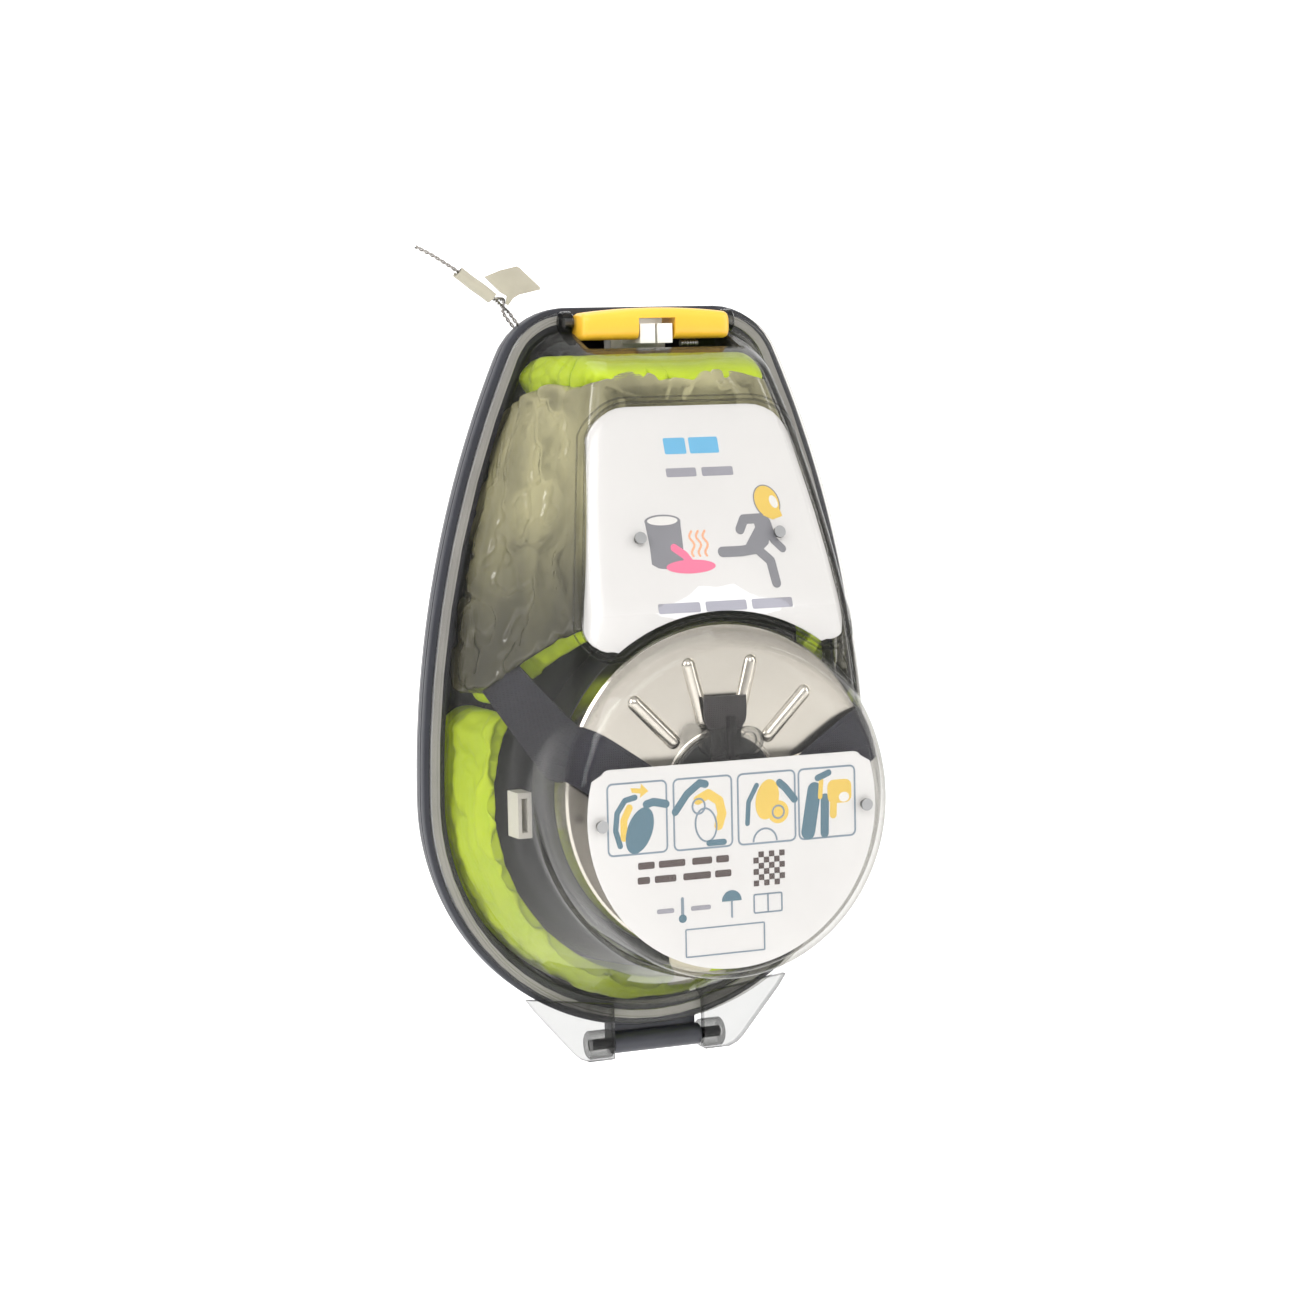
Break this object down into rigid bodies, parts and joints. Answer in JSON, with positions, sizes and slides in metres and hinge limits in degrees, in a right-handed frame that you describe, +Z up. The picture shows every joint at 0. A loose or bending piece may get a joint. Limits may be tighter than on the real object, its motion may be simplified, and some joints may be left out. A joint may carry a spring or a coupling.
{
  "type": "emergency escape smoke hood in a clear carrying case",
  "caption": "Escape smoke hood packed in a hard carrying case: hinged clear front cover, pull handle latch, dark rear shell with belt clip, combination filter, half mask, folded hood and visor.",
  "frame": {"origin": "Centre of the flat pad on the back of the rear shell, level with the filter's axis. The filter's axis is the Y axis.", "axes": "+X to the right seen from the front, +Y out of the back of the case, +Z up. The front cover faces -Y and the hinge is at the bottom."},
  "size_m": [0.131, 0.0824, 0.2215],
  "materials": {
    "rear_shell": "satin",
    "rim_seal": "as moulded",
    "belt_clip": "satin",
    "case_screws": "as moulded",
    "hinge_axle": "as moulded",
    "catch_block": "satin",
    "front_cover": "as moulded",
    "upper_label": "satin",
    "lower_label": "satin",
    "label_pins": "as moulded",
    "tab_clip": "as moulded",
    "plug_tab": "as moulded",
    "filter_plug": "as moulded",
    "latch_handle": "as moulded",
    "latch_pins": "satin",
    "latch_spring": "satin",
    "filter_lid": "satin",
    "filter_can": "satin",
    "particle_filter": "as moulded",
    "filter_screens": "satin",
    "carbon_bed": "satin",
    "filter_base": "satin",
    "filter_gasket": "as moulded",
    "half_mask": "as moulded",
    "mask_ring": "satin",
    "valve_seat": "satin",
    "inhalation_valve": "as moulded",
    "exhalation_valve": "as moulded",
    "valve_cap": "satin",
    "nose_clip": "satin",
    "neck_seal": "as moulded",
    "hood": "as moulded",
    "visor": "as moulded",
    "harness_strap": "as moulded",
    "strap_clips": "satin",
    "pull_tab": "as moulded",
    "seal_wire": "satin",
    "seal_sleeve": "satin",
    "seal_flag": "satin"
  },
  "bodies": {
    "case": {"rear_shell": "rear_shell", "rim_seal": "rim_seal", "belt_clip": "belt_clip", "case_screws": "case_screws", "hinge_axle": "hinge_axle", "catch_block": "catch_block", "filter_lid": "filter_lid", "filter_can": "filter_can", "particle_filter": "particle_filter", "filter_screens": "filter_screens", "carbon_bed": "carbon_bed", "filter_base": "filter_base", "filter_gasket": "filter_gasket", "half_mask": "half_mask", "mask_ring": "mask_ring", "valve_seat": "valve_seat", "valve_cap": "valve_cap", "nose_clip": "nose_clip", "neck_seal": "neck_seal", "hood": "hood", "visor": "visor", "harness_strap": "harness_strap", "strap_clips": "strap_clips", "pull_tab": "pull_tab", "seal_wire": "seal_wire", "seal_sleeve": "seal_sleeve", "seal_flag": "seal_flag"},
    "cover": {"front_cover": "front_cover", "upper_label": "upper_label", "lower_label": "lower_label", "label_pins": "label_pins", "tab_clip": "tab_clip", "plug_tab": "plug_tab", "filter_plug": "filter_plug", "latch_spring": "latch_spring"},
    "latch": {"latch_handle": "latch_handle", "latch_pins": "latch_pins"},
    "inhale_valve": {"inhalation_valve": "inhalation_valve"},
    "exhale_valve": {"exhalation_valve": "exhalation_valve"}
  },
  "joints": [
    {"name": "cover_hinge", "type": "hinge", "parent": "case", "child": "cover", "pos_m": [0, -0.026, -0.0745], "axis": [1, 0, 0], "range_deg": [0, 110]},
    {"name": "handle_pivot", "type": "hinge", "parent": "cover", "child": "latch", "pos_m": [0, -0.0305, 0.122], "axis": [-1, 0, 0], "range_deg": [0, 35]},
    {"name": "inhale_valve_lift", "type": "slide", "parent": "case", "child": "inhale_valve", "axis": [0, 1, 0], "range_m": [0, 0.0012]},
    {"name": "exhale_valve_lift", "type": "slide", "parent": "case", "child": "exhale_valve", "axis": [0, -1, 0], "range_m": [0, 0.0012]}
  ]
}
